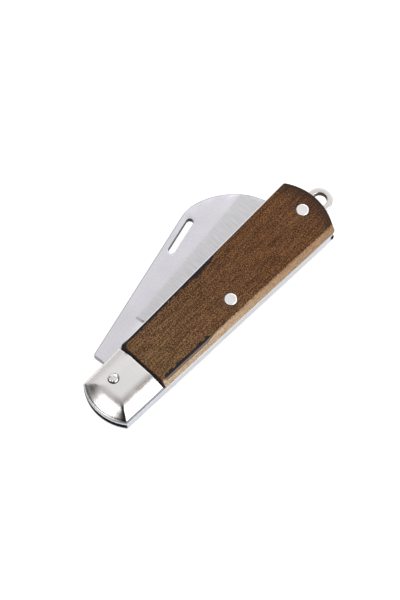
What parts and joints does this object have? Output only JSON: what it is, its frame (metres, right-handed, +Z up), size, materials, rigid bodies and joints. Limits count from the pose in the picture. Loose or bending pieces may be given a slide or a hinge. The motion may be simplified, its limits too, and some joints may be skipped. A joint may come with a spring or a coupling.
{
  "type": "whittling knife",
  "caption": "Folding whittling knife: sheepfoot blade with a slotted nail nick, wood scales, nickel bolsters, a slip-joint back spring and a lanyard ring.",
  "frame": {"origin": "centre of the bounding box's floor, with the knife closed and lying flat", "axes": "+X from the bolster end to the lanyard ring along the handle, +Y from the back to the open side that the blade comes out of, +Z up through the handle's thickness"},
  "size_m": [0.1226, 0.0464, 0.0143],
  "materials": {
    "blade_steel": "satin",
    "spring_steel": "satin",
    "liner_steel": "satin",
    "bolster_nickel": "polished",
    "pin_steel": "plain",
    "pivot_nickel": "polished",
    "wood": "oiled",
    "rivet_nickel": "satin",
    "ring_nickel": "satin"
  },
  "bodies": {
    "handle": {"back_spring": "spring_steel", "end_rivet_pin": "rivet_nickel", "end_rivet_tube": "rivet_nickel", "front_bolster": "bolster_nickel", "front_bolster_pins": "pin_steel", "front_liner": "liner_steel", "front_scale": "wood", "middle_rivet_pin": "rivet_nickel", "middle_rivet_tube": "rivet_nickel", "pivot_pin": "pivot_nickel", "rear_bolster": "bolster_nickel", "rear_bolster_pins": "pin_steel", "rear_liner": "liner_steel", "rear_scale": "wood", "spring_tail_pin": "pin_steel"},
    "blade": {"blade": "blade_steel"},
    "ring": {"lanyard_ring": "ring_nickel"}
  },
  "joints": [
    {"name": "blade_pivot", "type": "hinge", "parent": "handle", "child": "blade", "pos_m": [-0.04935, -0.00579, 0.00715], "axis": [0, 0, 1], "range_deg": [0, 173], "deforming": ["back_spring"]},
    {"name": "ring_swing", "type": "hinge", "parent": "handle", "child": "ring", "pos_m": [0.04655, -0.00959, 0.00715], "axis": [0, 0, 1], "range_deg": [-40, 40]}
  ]
}
